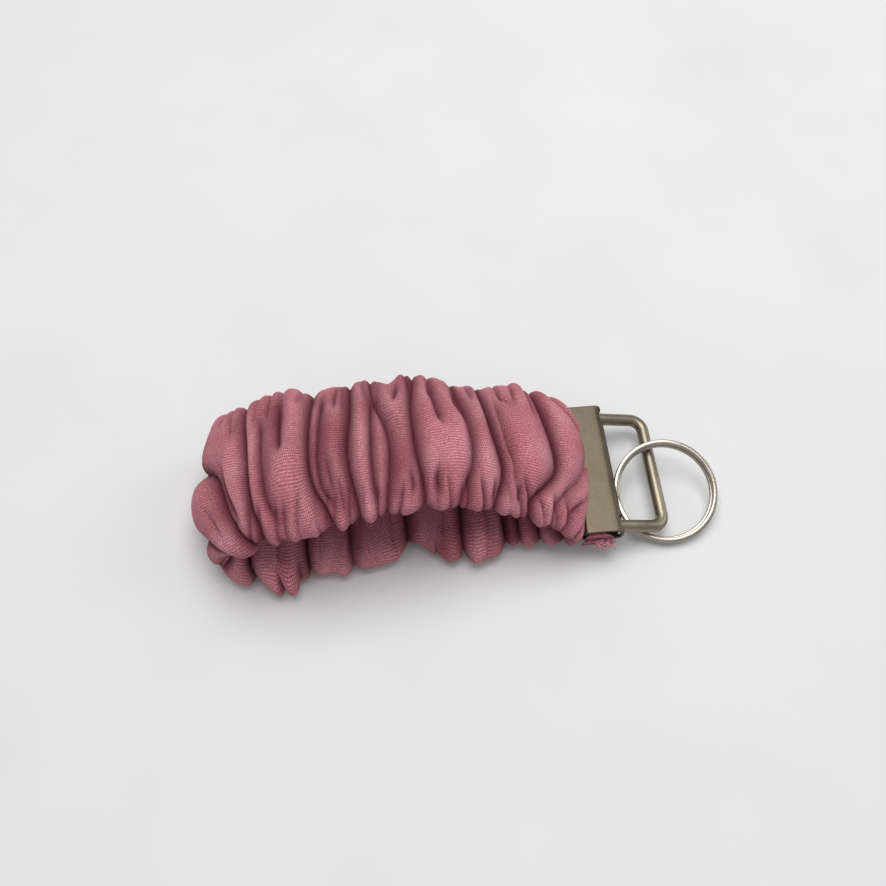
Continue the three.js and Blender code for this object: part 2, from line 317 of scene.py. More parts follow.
class Finish(Enum):
    """The object's finishes: the record's material slot, and the form that the material comes in."""

    JERSEY = ("rose_jersey", "knit")
    ELASTIC = ("white_elastic", "woven")
    THREAD = ("rose_thread", "thread")
    SATIN_SHEET = ("satin_nickel", "sheet")
    SATIN_WIRE = ("satin_nickel", "wire")
    BRIGHT_WIRE = ("bright_nickel", "wire")


@dataclass(frozen=True)
class RoseJersey:
    """Piece-dyed cotton rib jersey.

    Matte, with fine columns of V stitches along the strap, a faint bloom of loose fibre at grazing light, and
    painted shade that is a little deeper between the columns, with painted light on the raised stitches and painted
    shade in the creases.
    """

    # light is painted light on the raised stitches and deep is painted shade in the grooves between them, each mixed
    # with a random tone
    light: str = "#FFDADC"
    main: str = "#CF8690"
    deep: str = "#8A303F"
    crease: str = "#54101C"  # painted shade: the colour that the creases take, darkest where the cloth is least full
    column_mm: float = 0.6  # one column of V stitches
    stitch_mm: float = 0.46
    roughness: float = 0.92

    def build(self) -> bpy.types.Material:
        """Builds the material on the cloth's own UV map, and returns it."""
        material, tree, shader = new_material("cotton_rib_jersey_rose")
        cloth = add_node(tree, "ShaderNodeUVMap", uv_map="cloth").outputs["UV"]
        wander = add_node(tree, "ShaderNodeTexNoise", {"Vector": cloth, "Scale": UV_MM / 6, "Detail": 2.0})
        shifted = add_node(tree, "ShaderNodeVectorMath",
                           {0: wander.outputs["Color"], 1: (-0.5, -0.5, -0.5)}, operation="ADD")
        scaled = add_node(tree, "ShaderNodeVectorMath",
                          {0: shifted.outputs[0], 1: (0.014, 0.008, 0.0)}, operation="MULTIPLY")
        place = add_node(tree, "ShaderNodeVectorMath", {0: cloth, 1: scaled.outputs[0]}, operation="ADD")
        axes = add_node(tree, "ShaderNodeSeparateXYZ", {0: place.outputs[0]})
        column = math_node(tree, "MULTIPLY", axes.outputs["Y"], UV_MM / self.column_mm)
        slant = math_node(tree, "PINGPONG", column, 0.5)
        along = math_node(tree, "MULTIPLY", axes.outputs["X"], UV_MM / self.stitch_mm)
        phase = math_node(tree, "MULTIPLY_ADD", slant, 1.6, along)
        stitch = math_node(tree, "SINE", math_node(tree, "MULTIPLY", phase, 2 * math.pi))
        rib = math_node(tree, "ABSOLUTE", math_node(tree, "SINE", math_node(tree, "MULTIPLY", column, math.pi)))
        knit = math_node(tree, "MULTIPLY_ADD", stitch, 0.26, math_node(tree, "MULTIPLY", rib, 0.4))
        fibre = add_node(tree, "ShaderNodeTexNoise", {"Vector": cloth, "Scale": UV_MM / 0.5, "Detail": 3.0})
        height = math_node(tree, "MULTIPLY_ADD", fibre.outputs["Fac"], 0.9, knit)
        tone = add_node(tree, "ShaderNodeTexNoise", {"Vector": cloth, "Scale": UV_MM / 14, "Detail": 3.0})
        # Painted shade and light: the knit's relief darkens the colour in its grooves and lightens it on its raised
        # stitches, over a random tone.
        painted_relief_light_and_tone = math_node(tree, "MULTIPLY_ADD", math_node(tree, "SUBTRACT", tone.outputs["Fac"], 0.5), 0.5,
                          math_node(tree, "MULTIPLY_ADD", height, 0.62, -0.08))
        colour = ramp(tree, painted_relief_light_and_tone, [(0.08, self.deep), (0.48, self.main), (0.86, self.light)])
        # Painted shade in the creases: the less full the cloth, the nearer its colour comes to the crease colour.
        full = add_node(tree, "ShaderNodeAttribute", attribute_name="fullness").outputs["Fac"]
        spans = {"Value": full, "From Min": 0.0, "From Max": 1.2, "To Min": 0.0, "To Max": 1.0}
        open_cloth = add_node(tree, "ShaderNodeMapRange", spans, interpolation_type="SMOOTHSTEP")
        crease_shade_mix = {0: open_cloth.outputs[0], 6: linear(self.crease), 7: colour}
        colour = add_node(tree, "ShaderNodeMix", crease_shade_mix, data_type="RGBA").outputs[2]
        bump = add_node(tree, "ShaderNodeBump", {"Height": height, "Strength": 0.8, "Distance": 0.2 * MM})
        tree.links.new(colour, shader.inputs["Base Color"])
        tree.links.new(bump.outputs["Normal"], shader.inputs["Normal"])
        shader.inputs["Roughness"].default_value = self.roughness
        shader.inputs["Specular IOR Level"].default_value = 0.25
        shader.inputs["Sheen Weight"].default_value = 0.25
        shader.inputs["Sheen Roughness"].default_value = 0.45
        shader.inputs["Sheen Tint"].default_value = linear("#EDB4BC")
        return material


@dataclass(frozen=True)
class RoseThread:
    """Polyester sewing thread and pulled yarn ends: fine twisted strands with a slight gloss."""

    main: str = "#D893A0"
    deep: str = "#B46A78"
    twist_mm: float = 0.6

    def build(self) -> bpy.types.Material:
        """Builds the material with its twist on Object coordinates, and returns it."""
        material, tree, shader = new_material("polyester_thread_rose")
        place = add_node(tree, "ShaderNodeTexCoord").outputs["Object"]
        twist = add_node(tree, "ShaderNodeTexWave", {"Vector": place, "Scale": 0.314 / (self.twist_mm * MM),
                                                     "Distortion": 1.5}, bands_direction="DIAGONAL")
        colour = ramp(tree, twist.outputs["Fac"], [(0.1, self.deep), (0.8, self.main)])
        bump = add_node(tree, "ShaderNodeBump",
                        {"Height": twist.outputs["Fac"], "Strength": 0.5, "Distance": 0.05 * MM})
        tree.links.new(colour, shader.inputs["Base Color"])
        tree.links.new(bump.outputs["Normal"], shader.inputs["Normal"])
        shader.inputs["Roughness"].default_value = 0.7
        shader.inputs["Sheen Weight"].default_value = 0.2
        return material


@dataclass(frozen=True)
class WhiteElastic:
    """Woven flat elastic: white polyester yarn over rubber cords, ribbed along its length."""

    light: str = "#F0ECE6"
    deep: str = "#C9C3BA"
    rib_mm: float = 1.2

    def build(self) -> bpy.types.Material:
        """Builds the material with its ribs across Y in Object coordinates, and returns it."""
        material, tree, shader = new_material("woven_elastic_white")
        place = add_node(tree, "ShaderNodeTexCoord").outputs["Object"]
        rib = add_node(tree, "ShaderNodeTexWave", {"Vector": place, "Scale": 0.314 / (self.rib_mm * MM),
                                                   "Distortion": 0.6}, bands_direction="Y")
        yarn = add_node(tree, "ShaderNodeTexWave",
                        {"Vector": place, "Scale": 0.314 / (0.5 * MM)}, bands_direction="X")
        both = math_node(tree, "MULTIPLY_ADD", yarn.outputs["Fac"], 0.4, rib.outputs["Fac"])
        colour = ramp(tree, both, [(0.15, self.deep), (0.9, self.light)])
        bump = add_node(tree, "ShaderNodeBump", {"Height": both, "Strength": 0.6, "Distance": 0.12 * MM})
        tree.links.new(colour, shader.inputs["Base Color"])
        tree.links.new(bump.outputs["Normal"], shader.inputs["Normal"])
        shader.inputs["Roughness"].default_value = 0.8
        return material


@dataclass(frozen=True)
class Nickel:
    """Nickel plate on pressed steel: warm grey metal, brushed to satin before it is plated.

    Light spreads a little along the brushing, fine pits and handling marks break it up, and the plate is brighter
    where it is rubbed.
    """

    name: str
    light: str
    deep: str
    roughness: float
    spread: float  # how far the roughness varies
    grain_mm: float  # spacing of the brushing
    pit_depth_mm: float
    stretch: tuple[float, float, float]  # of the grain, so that it runs one way

    def build(self) -> bpy.types.Material:
        """Builds the material on Object coordinates, and returns it."""
        material, tree, shader = new_material(self.name)
        place = add_node(tree, "ShaderNodeTexCoord").outputs["Object"]
        turned = add_node(tree, "ShaderNodeMapping", {"Vector": place, "Scale": self.stretch})
        grain = add_node(tree, "ShaderNodeTexNoise",
                         {"Vector": turned.outputs[0], "Scale": 1 / (self.grain_mm * MM), "Detail": 3.0})
        pits = add_node(tree, "ShaderNodeTexNoise", {"Vector": place, "Scale": 1 / (0.35 * MM), "Detail": 2.0})
        blotch = add_node(tree, "ShaderNodeTexNoise", {"Vector": place, "Scale": 1 / (5 * MM), "Detail": 4.0})
        mix = math_node(tree, "MULTIPLY_ADD", grain.outputs["Fac"], 0.5,
                        math_node(tree, "MULTIPLY", blotch.outputs["Fac"], 0.5))
        colour = ramp(tree, mix, [(0.35, self.deep), (0.62, self.light)])
        rough = math_node(tree, "MULTIPLY_ADD", math_node(tree, "SUBTRACT", mix, 0.5), self.spread, self.roughness)
        relief = math_node(tree, "MULTIPLY_ADD", pits.outputs["Fac"], 0.6, grain.outputs["Fac"])
        bump = add_node(tree, "ShaderNodeBump",
                        {"Height": relief, "Strength": 0.6, "Distance": self.pit_depth_mm * MM})
        tree.links.new(colour, shader.inputs["Base Color"])
        tree.links.new(rough, shader.inputs["Roughness"])
        tree.links.new(bump.outputs["Normal"], shader.inputs["Normal"])
        shader.inputs["Metallic"].default_value = 1.0
        return material


@dataclass(frozen=True)
class PaleBoard:
    """White coated board that everything lies on: matte, with the faintest mottling."""

    light: str = "#DDDDDE"
    deep: str = "#D9D9DA"

    def build(self) -> bpy.types.Material:
        """Builds the material on Object coordinates, and returns it."""
        material, tree, shader = new_material("coated_board_white")
        place = add_node(tree, "ShaderNodeTexCoord").outputs["Object"]
        mottle = add_node(tree, "ShaderNodeTexNoise", {"Vector": place, "Scale": 25.0, "Detail": 2.0})
        colour = ramp(tree, mottle.outputs["Fac"], [(0.3, self.deep), (0.7, self.light)])
        tree.links.new(colour, shader.inputs["Base Color"])
        shader.inputs["Roughness"].default_value = 0.6
        shader.inputs["Specular IOR Level"].default_value = 0.3
        return material


class FinishSet:
    """Builds each finish once and hands it out."""

    def __init__(self) -> None:
        """Builds all the finishes."""
        self.materials = {
            Finish.JERSEY: RoseJersey().build(),
            Finish.ELASTIC: WhiteElastic().build(),
            Finish.THREAD: RoseThread().build(),
            Finish.SATIN_SHEET: Nickel("satin_nickel_sheet", "#655D4F", "#4C453A",
                                       0.4, 0.5, 0.3, 0.008, (0.5, 1.0, 1.0)).build(),
            Finish.SATIN_WIRE: Nickel("satin_nickel_wire", "#968D7C", "#7D7565",
                                      0.36, 0.3, 0.4, 0.003, (1.0, 1.0, 1.0)).build(),
            Finish.BRIGHT_WIRE: Nickel("bright_nickel_wire", "#B5AEA3", "#9D968A",
                                       0.24, 0.2, 0.5, 0.0015, (1.0, 1.0, 1.0)).build(),
        }

    def dress(self, piece: bpy.types.Object, finish: Finish) -> None:
        """Gives a piece its finish.

        Args:
            piece: a mesh object of this scene or a CAD node.
            finish: which finish it takes.
        """
        piece.data.materials.clear()
        piece.data.materials.append(self.materials[finish])


# ---------------------------------------------------------------- gathered sleeve


@dataclass(frozen=True)
class Crease:
    """One crease between two gathers, drawn on the cloth.

    line holds its places, in millimetres: length round the girth, from the middle of the outer face and positive
    to the far side, and length along the strap from the clamp's mouth. depth is from 0 to 1, towards is how wide
    its slope is on the clamp's side and away on the other side. wraps carries it on round the inner face.
    """

    line: tuple[tuple[float, float], ...]
    depth: float = 1.0
    towards: float = 4.2
    away: float = 4.2
    wraps: bool = True


# The creases of the upper run and of the fold's end, from the fold to the clamp.
UPPER_CREASES = (
    Crease(((-27.0, 72.5), (-19.5, 74.5), (-15.5, 78.0), (-12.0, 79.6), (-8.5, 80.5), (-4.0, 81.8),
            (0.5, 82.8), (4.0, 84.6), (5.8, 88.0), (7.2, 92.0), (9.5, 95.0), (14.0, 96.0)), 1.0, 3.4, 4.2),
    Crease(((-13.0, 77.0), (-9.5, 78.4), (-6.0, 79.6), (-1.5, 80.6), (2.0, 80.8)), 0.75, 1.5, 2.2, False),
    Crease(((-16.5, 77.4), (-14.4, 78.6), (-12.4, 78.0)), 1.0, 1.1, 1.4, False),
    Crease(((-29.0, 79.0), (-23.0, 81.5), (-18.5, 85.5), (-13.0, 89.5), (-6.0, 93.0), (2.0, 95.0),
            (12.0, 95.0)), 1.0, 3.4, 3.0),
    Crease(((-17.0, 81.0), (-12.0, 83.2), (-7.0, 84.6)), 0.35, 1.6, 1.6, False),
    Crease(((-17.0, 72.0), (-14.5, 73.5), (-8.0, 74.8), (-1.0, 75.1), (4.0, 75.4),
            (15.5, 76.8)), 1.0, 2.2, 4.0),
    Crease(((-17.0, 68.3), (-11.0, 70.6), (-7.5, 71.4), (0.0, 72.1), (9.0, 72.3),
            (12.0, 72.6)), 0.8, 5.0, 2.2, False),
    Crease(((1.0, 67.8), (4.5, 67.9), (10.0, 68.0), (17.0, 68.1)), 0.95, 3.0, 3.6, False),
    Crease(((-17.5, 56.8), (-13.0, 59.7), (-6.5, 61.5), (3.0, 61.8), (12.5, 61.0)), 1.0, 2.4, 5.0),
    Crease(((-16.5, 56.0), (-10.0, 59.1), (-3.0, 59.9), (6.0, 59.3), (16.0, 58.4)), 0.85, 5.5, 2.0, False),
    Crease(((-13.0, 56.2), (-6.3, 57.4), (-1.5, 58.2)), 0.55, 2.0, 1.8, False),
    Crease(((-17.5, 54.4), (-12.5, 54.9), (-7.5, 55.8)), 0.5, 1.6, 1.6, False),
    Crease(((-17.0, 51.4), (-11.5, 52.5), (-5.5, 53.4), (1.0, 53.5), (8.0, 52.5),
            (14.0, 52.4)), 1.0, 3.4, 5.0),
    Crease(((-17.0, 47.8), (-12.0, 48.2), (-4.0, 48.6), (4.0, 48.4), (12.5, 48.0)), 0.85, 3.0, 3.0, False),
    Crease(((-17.0, 45.8), (-11.0, 45.3), (-4.5, 44.7), (1.5, 45.1), (7.0, 46.5),
            (12.0, 48.1)), 0.85, 5.0, 2.6),
    Crease(((9.0, 43.6), (12.5, 42.9), (17.0, 42.2)), 0.8, 2.6, 2.6, False),
    Crease(((-17.0, 38.2), (-11.5, 38.5), (-6.5, 39.5), (2.0, 40.0), (10.5, 40.0),
            (15.5, 38.8)), 0.95, 3.0, 4.6),
    Crease(((-17.0, 41.0), (-12.8, 40.6), (-8.5, 41.1)), 0.7, 1.8, 2.0, False),
    Crease(((-17.0, 35.3), (-11.5, 35.8), (-8.0, 35.7)), 0.85, 2.4, 2.4, False),
    Crease(((1.5, 34.0), (3.5, 34.4), (9.5, 35.2), (15.5, 35.4)), 0.85, 3.0, 3.2, False),
    Crease(((5.0, 28.8), (9.0, 30.1), (14.0, 30.8)), 0.75, 2.4, 3.0, False),
    Crease(((-17.0, 31.0), (-11.5, 28.9), (-6.0, 27.2), (1.0, 27.4), (7.5, 28.5),
            (13.0, 30.2)), 0.8, 3.2, 4.6),
    Crease(((-17.0, 23.2), (-12.8, 21.7), (-10.5, 20.6), (-6.0, 20.6), (0.5, 21.8), (7.0, 22.9),
            (13.5, 24.0)), 1.0, 2.6, 4.0),
    Crease(((-12.5, 19.0), (-6.0, 18.2), (0.5, 19.4), (7.0, 20.4), (12.0, 21.2)), 0.55, 5.0, 1.8, False),
    Crease(((10.0, 16.8), (11.5, 18.1), (14.5, 20.0)), 0.8, 3.0, 2.0, False),
    Crease(((-17.0, 15.6), (-12.5, 14.6), (-11.0, 11.7), (-7.0, 7.9), (-2.0, 6.9), (4.5, 7.6),
            (10.5, 8.4), (17.0, 9.6)), 1.0, 2.6, 5.5),
    Crease(((-17.0, 19.0), (-13.0, 17.6), (-9.5, 17.0)), 0.7, 2.2, 2.2, False),
    Crease(((-25.0, 7.6), (-19.0, 7.2), (-13.5, 5.0), (-9.0, 2.6)), 0.7, 1.6, 1.6, False),
    Crease(((-25.0, 4.2), (-19.0, 3.8), (-15.0, 2.4)), 0.6, 1.2, 1.2, False),
    Crease(((-17.0, 10.5), (-14.0, 9.7), (-9.0, 5.5), (-3.0, 3.3), (3.0, 2.8), (10.0, 3.1),
            (17.0, 4.5)), 0.6, 2.2, 2.8),
)

# Creases at the near edge of the fold and of the lower run, which shows beyond the upper one.
LOWER_CREASES = (
    Crease(((11.0, 88.6), (15.0, 88.0), (20.0, 88.0)), 0.8, 3.0, 3.5, False),
    Crease(((-24.0, 90.5), (-18.0, 92.5), (-12.0, 94.0)), 0.6, 2.4, 2.4, False),
    Crease(((-26.0, 98.0), (-19.0, 100.5), (-8.0, 103.0), (0.0, 104.5), (12.0, 103.0)), 1.0, 3.0, 3.4),
    Crease(((-24.0, 104.5), (-20.0, 106.0), (-15.0, 106.5)), 0.7, 1.6, 2.0, False),
    Crease(((-25.0, 109.5), (-17.0, 110.0), (-8.0, 110.5)), 0.6, 2.0, 2.0, False),
    Crease(((-25.0, 111.5), (-17.0, 112.7), (-8.0, 113.0), (3.0, 113.0), (14.0, 112.0)), 1.0, 4.0, 3.0),
    Crease(((-25.0, 121.0), (-17.0, 122.0), (-8.0, 121.0)), 0.7, 3.0, 3.2),
    Crease(((-25.0, 133.6), (-17.0, 134.2), (-8.0, 133.4), (4.0, 132.5), (14.0, 133.5)), 1.0, 4.0, 4.6),
    Crease(((-24.0, 139.5), (-17.0, 140.0), (-8.0, 139.4)), 0.5, 2.6, 3.0, False),
    Crease(((-25.0, 145.8), (-17.0, 146.3), (-8.0, 146.5), (4.0, 147.5), (14.0, 147.0)), 1.0, 4.2, 3.6),
    Crease(((-25.0, 155.5), (-17.0, 156.0), (-8.0, 155.0), (4.0, 154.5), (14.0, 155.5)), 1.0, 2.6, 4.2),
    Crease(((-25.0, 159.0), (-17.0, 159.3), (-8.0, 159.0), (2.0, 158.6)), 0.8, 3.0, 2.4),
    Crease(((-25.0, 163.6), (-17.0, 164.0), (-8.0, 164.2), (6.0, 164.0), (14.0, 163.4)), 0.9, 3.0, 3.0),
    Crease(((-25.0, 168.5), (-17.0, 169.0), (-8.0, 168.8), (6.0, 168.5), (14.0, 168.7)), 0.9, 2.6, 2.8),
)


@dataclass(frozen=True)
class Swell:
    """A place where the cloth stands further out, or less far, than the plain tube does.

    It is a bell shape on the cloth: exp(-((s - station) / along)^2 - ((q - girth) / round)^2), in millimetres.
    """

    station: float
    girth: float
    along: float
    round: float
    wide: float  # added across the strap
    thick: float = 0.0  # added through it


SWELLS = (
    Swell(76.5, -20.0, 4.5, 8.0, 1.6, 0.3),
    Swell(81.5, -22.0, 3.0, 8.0, 0.0, 0.6),
    Swell(88.0, -17.0, 6.0, 8.0, -3.6, -1.5),
    Swell(90.0, 14.0, 8.0, 9.0, -1.0),
    Swell(88.0, -5.0, 4.0, 7.0, 0.0, 0.6),
    Swell(82.0, -27.0, 6.0, 7.0, 0.2, 1.4),
    Swell(95.0, -27.0, 7.0, 7.0, 0.5, 2.4),
    Swell(99.5, -19.0, 4.4, 8.0, 1.0, 1.2),
    Swell(107.5, -19.0, 5.5, 9.0, 1.6, 1.4),
    Swell(106.3, -19.0, 2.6, 8.0, 1.6),
    Swell(115.2, -19.0, 2.8, 8.0, -1.6),
    Swell(119.5, -19.0, 3.0, 8.0, 0.6),
    Swell(127.5, -19.0, 4.2, 8.0, 0.8),
    Swell(134.4, -19.0, 3.4, 9.0, -0.7),
    Swell(136.4, -22.0, 2.8, 8.0, -2.4),
    Swell(141.0, -19.0, 3.6, 8.0, 1.4),
    Swell(146.1, -20.0, 2.6, 8.0, 1.4),
    Swell(150.5, -19.0, 4.0, 8.0, 0.8),
    Swell(158.5, -19.0, 4.5, 8.0, -1.4),
    Swell(167.0, -19.0, 4.5, 8.0, -1.2),
    Swell(5.0, 15.0, 6.0, 9.0, 0.9, 0.4),
    Swell(30.0, -20.0, 19.0, 9.0, -2.0),
    Swell(30.0, 20.0, 19.0, 9.0, -2.6),
    Swell(38.0, 17.0, 3.0, 7.0, 0.6, 0.3),
    Swell(12.4, 17.0, 2.6, 7.0, 1.9),
    Swell(22.5, 15.0, 2.6, 7.0, -2.3),
    Swell(28.1, 15.0, 2.4, 7.0, -2.3),
    Swell(40.3, 18.0, 1.8, 7.0, 2.0, 0.3),
    Swell(43.8, 16.0, 2.6, 7.0, -2.8),
    Swell(51.0, 16.0, 2.5, 7.0, -1.2),
    Swell(56.0, 16.0, 2.6, 7.0, -1.4),
    Swell(60.5, 17.0, 3.6, 7.0, -2.0),
    Swell(22.0, -18.0, 8.0, 8.0, -0.6),
)


@dataclass
class GatheredSleeve:
    """The jersey tube, gathered on its elastic and sewn along the middle of its inner face. In millimetres."""

    rows: int = 640
    columns: int = 146
    valley_half_width: float = 14.9
    valley_half_thick: float = 1.05
    ridge_half_width: float = 18.3
    ridge_half_thick: float = 4.7
    power: float = 2.25
    seam_depth: float = 1.0  # of the seam's two turned-in edges
    pinch_half_width: float = 15.3
    pinch_half_thick: float = 0.42
    band_width: float = 27.2  # drawn in a little by the gathers
    band_thick: float = 1.1
    flat_width: float = 90.0
    flat_length: float = 240.0
    path: tuple[tuple[float, float], ...] = (
        (31.0, 7.65), (28.6, 7.9), (26.0, 9.6), (21.0, 12.9), (14.0, 16.4), (5.6, 19.8), (-8.7, 24.0),
        (-24.0, 23.4),
        (-36.6, 20.4), (-46.0, 15.8), (-51.4, 11.2), (-52.2, 8.2), (-50.4, 5.0), (-46.5, 3.7), (-40.0, 3.5),
        (-15.0, 3.5), (10.0, 3.6), (20.0, 4.2), (26.0, 5.2), (28.6, 6.1), (31.0, 6.35))
    sway: tuple[tuple[float, float], ...] = (  # length along the strap, and how far its middle lies to the far side
        (0.0, 0.0), (10.0, 1.2), (20.0, 2.4), (32.0, 2.6), (46.0, 1.9), (60.0, 0.7), (86.0, 0.6),
        (100.0, 0.2), (108.0, -1.2), (120.0, -0.4), (134.5, 3.8), (148.0, 0.2),
        (160.0, 1.6), (168.0, 0.8), (173.0, 0.0))
    mouth: float = 28.5  # where lengths along the strap start and end
    girth: float = field(init=False, default=0.0)

    def section_angles(self, q: np.ndarray) -> np.ndarray:
        """Finds the angle of the flattened section at each length round the girth.

        The section is y = a c |c|^(2/p - 1), z = b s |s|^(2/p - 1), with c and s the cosine and the sine; its arc
        length is summed on a fine table and read backwards.

        Args:
            q: length from the middle of the outer face, positive to the far side.

        Returns:
            The angle from the far side towards the outer face.
        """
        angle = np.linspace(-math.pi, 2 * math.pi, 6001)
        c, s = np.cos(angle), np.sin(angle)
        y = self.ridge_half_width * np.sign(c) * np.abs(c) ** (2 / self.power)
        z = self.ridge_half_thick * np.sign(s) * np.abs(s) ** (2 / self.power)
        length = np.r_[0, np.cumsum(np.hypot(np.diff(y), np.diff(z)))]
        self.girth = float(length[-1] * 2 / 3)
        return np.interp(np.interp(math.pi / 2, angle, length) - q, length, angle)

    def ridges(self, s: np.ndarray, q: np.ndarray, creases: list[Crease]) -> np.ndarray:
        """Works out how full the cloth is, from 0 in a crease to 1 on a gather.

        For a crease, x is the distance to it over the width of its slope, and the cloth rises as
        (1 - (1 - x)^2)^0.7. The creases' heights are multiplied.

        Args:
            s: length along the strap.
            q: length round the girth, in minus to plus half of it.
            creases: the creases.

        Returns:
            The fullness at each place.
        """
        full = np.ones_like(s)
        half = self.girth / 2
        for crease in creases:
            line = sorted(crease.line)
            if crease.wraps:
                meet = 0.5 * (line[0][1] + line[-1][1])
                line = [(-half, meet)] + line + [(half, meet)]
            places, stations = np.array(line).T
            fine_q = np.linspace(places[0], places[-1], 80)
            padded = np.pad(np.interp(fine_q, places, stations), 4, mode="edge")
            fine_s = np.convolve(padded, np.ones(9) / 9, mode="valid")
            centre = np.interp(q, fine_q, fine_s)
            slope = np.interp(q, fine_q, np.gradient(fine_s, fine_q))
            aside = (s - centre) / np.sqrt(1 + slope ** 2)
            wide = np.where(aside > 0, crease.away, crease.towards)
            x = np.clip(np.abs(aside) / wide, 0, 1)
            rise = (1 - (1 - x) ** 2) ** 0.7
            depth = crease.depth
            if not crease.wraps:
                depth = depth * smooth(q - places[0], -2.0, 4.0) * smooth(places[-1] - q, -2.0, 4.0)
            full *= 1 - depth * (1 - rise)
        return full

    def hidden_creases(self) -> list[Crease]:
        """Adds seeded creases where the strap's gathers aren't placed one by one.

        They run on the inner face, along both edges of the upper run, and on the outer face of the lower run.

        Returns:
            The creases.
        """
        rng = np.random.default_rng(41)
        half, found = self.girth / 2, []
        for station in np.arange(6.0, 170.0, 5.2):
            for side in (-1, 1):
                place = station + rng.uniform(-1.8, 1.8)
                low, high = sorted((side * (half - 0.5), side * rng.uniform(17.5, 24.0)))
                tilt = rng.uniform(-0.12, 0.12)
                line = tuple((q, place + tilt * (q - low)) for q in np.linspace(low, high, 4))
                drawn = side < 0 and station > 97.0
                found.append(Crease(line, rng.uniform(0.5, 0.95) * (0.35 if drawn else 1.0), rng.uniform(2.2, 3.4),
                                    rng.uniform(2.2, 3.4), False))
        for station in np.arange(7.0, 77.0, 2.7):
            place = station + rng.uniform(-0.9, 0.9)
            tilt = rng.uniform(-0.15, 0.15)
            inner, outer = rng.uniform(-12.0, -8.0), rng.uniform(-24.0, -18.5)
            line = tuple((q, place + tilt * (q + 15)) for q in np.linspace(outer, inner, 4))
            found.append(Crease(line, rng.uniform(0.25, 0.8), rng.uniform(1.0, 1.9), rng.uniform(1.0, 1.9), False))
        for station in np.arange(9.0, 84.0, 3.4):
            place = station + rng.uniform(-1.2, 1.2)
            tilt = rng.uniform(-0.15, 0.15)
            inner, outer = rng.uniform(7.0, 13.0), rng.uniform(18.5, 24.0)
            line = tuple((q, place + tilt * (q - 15)) for q in np.linspace(inner, outer, 4))
            found.append(Crease(line, rng.uniform(0.2, 0.7), rng.uniform(1.0, 2.0), rng.uniform(1.0, 2.0), False))
        for station in np.arange(88.0, 171.0, 6.3):
            place = station + rng.uniform(-1.5, 1.5)
            line = ((rng.uniform(-4, 2), place), (10.0, place + rng.uniform(-1, 1)),
                    (24.0, place + rng.uniform(-2, 2)))
            found.append(Crease(line, rng.uniform(0.6, 0.95), 3.0, 3.0, False))
        return found

    def surface(self) -> tuple[np.ndarray, np.ndarray, np.ndarray]:
        """Works out the cloth's points and its own flat coordinates.

        A point is path(s) + b sin' N + a cos' Y: Y lies across the strap, N is the path's outward normal, and the
        half-width a and the half-thickness b go from the crease's to the gather's by the fullness. Near the clamp
        both shrink to the pinch. The last gathers lean over the clamp, and the underside is pressed flat.

        Returns:
            Points, rows by columns by 3, flat coordinates, rows by columns by 2, and fullness, rows by columns.
        """
        length, centre = spline(np.array(self.path), 2400)
        fold = np.argmin(centre[:, 0])
        start = np.interp(-self.mouth, -centre[:fold, 0], length[:fold])
        end = np.interp(self.mouth, centre[fold:, 0], length[fold:])
        span = end - start
        along = np.linspace(length[0], length[-1], self.rows)
        x, z = (np.interp(along, length, centre[:, k]) for k in (0, 1))
        tx, tz = np.gradient(x, along), np.gradient(z, along)
        norm = np.hypot(tx, tz)
        tx, tz = tx / norm, tz / norm
        self.section_angles(np.zeros(1))
        half = self.girth / 2
        round_q = np.linspace(-half, half, self.columns)
        q_row = np.r_[-half, round_q, half]
        angle = self.section_angles(q_row)
        s, q = np.meshgrid(along - start, q_row, indexing="ij")
        full = self.ridges(s, q, [*UPPER_CREASES, *LOWER_CREASES, *self.hidden_creases()])
        full = full * (1 + 0.14 * value_noise(3, s, q, 7.0, 11.0, self.girth))
        full = full + 0.09 * value_noise(5, s, q, 1.9, 13.0, self.girth) * smooth(full, 0.1, 0.7)
        full = full + 0.03 * value_noise(7, s, q, 0.9, 6.0, self.girth) * smooth(full, 0.1, 0.7)
        from_mouth = np.minimum(s, span - s)
        open_up = smooth(from_mouth, 0.0, 6.0)
        puff = smooth(from_mouth, -0.3, 3.6)
        half_width = self.pinch_half_width + (self.valley_half_width - self.pinch_half_width) * open_up
        half_thick = self.pinch_half_thick + (self.valley_half_thick - self.pinch_half_thick) * open_up
        rounded = np.clip(full, 0.0, None) ** 0.85
        half_width = half_width + (self.ridge_half_width - self.valley_half_width) * rounded * puff
        half_thick = half_thick + (self.ridge_half_thick - self.valley_half_thick) * full * puff
        for swell in SWELLS:
            aside = (q - swell.girth + half) % self.girth - half
            bell = np.exp(-((s - swell.station) / swell.along) ** 2 - (aside / swell.round) ** 2)
            bell = bell * (0.35 + 0.65 * full)  # a crease takes part of the swell only
            half_width = half_width + swell.wide * bell
            half_thick = half_thick + swell.thick * bell
        c, t = np.cos(angle), np.sin(angle)
        across = half_width * np.sign(c) * np.abs(c) ** (2 / self.power) + self.sideways(s)
        through = half_thick * np.sign(t) * np.abs(t) ** (2 / self.power)
        through[:, 0] += self.seam_depth
        through[:, -1] += self.seam_depth
        roll = 1.3 * value_noise(11, s, q, 15.0, 26.0, self.girth) * np.minimum(full, 1.0) * puff
        over = np.exp(-((s - 1.8) / 3.4) ** 2) * smooth(t, 0.0, 0.8)[None, :] * smooth(s, -0.8, 0.8)
        plain_lean = 3.3 * (1 - 0.75 * smooth(-q, 6.0, 16.0))  # less towards the near edge
        lobe_lean = 3.4 * np.exp(-((q - 5.0) / 8.0) ** 2)
        lean = roll + over * (plain_lean + lobe_lean)
        px = x[:, None] + through * tz[:, None] - lean * tx[:, None]
        pz = z[:, None] - through * tx[:, None] - lean * tz[:, None]
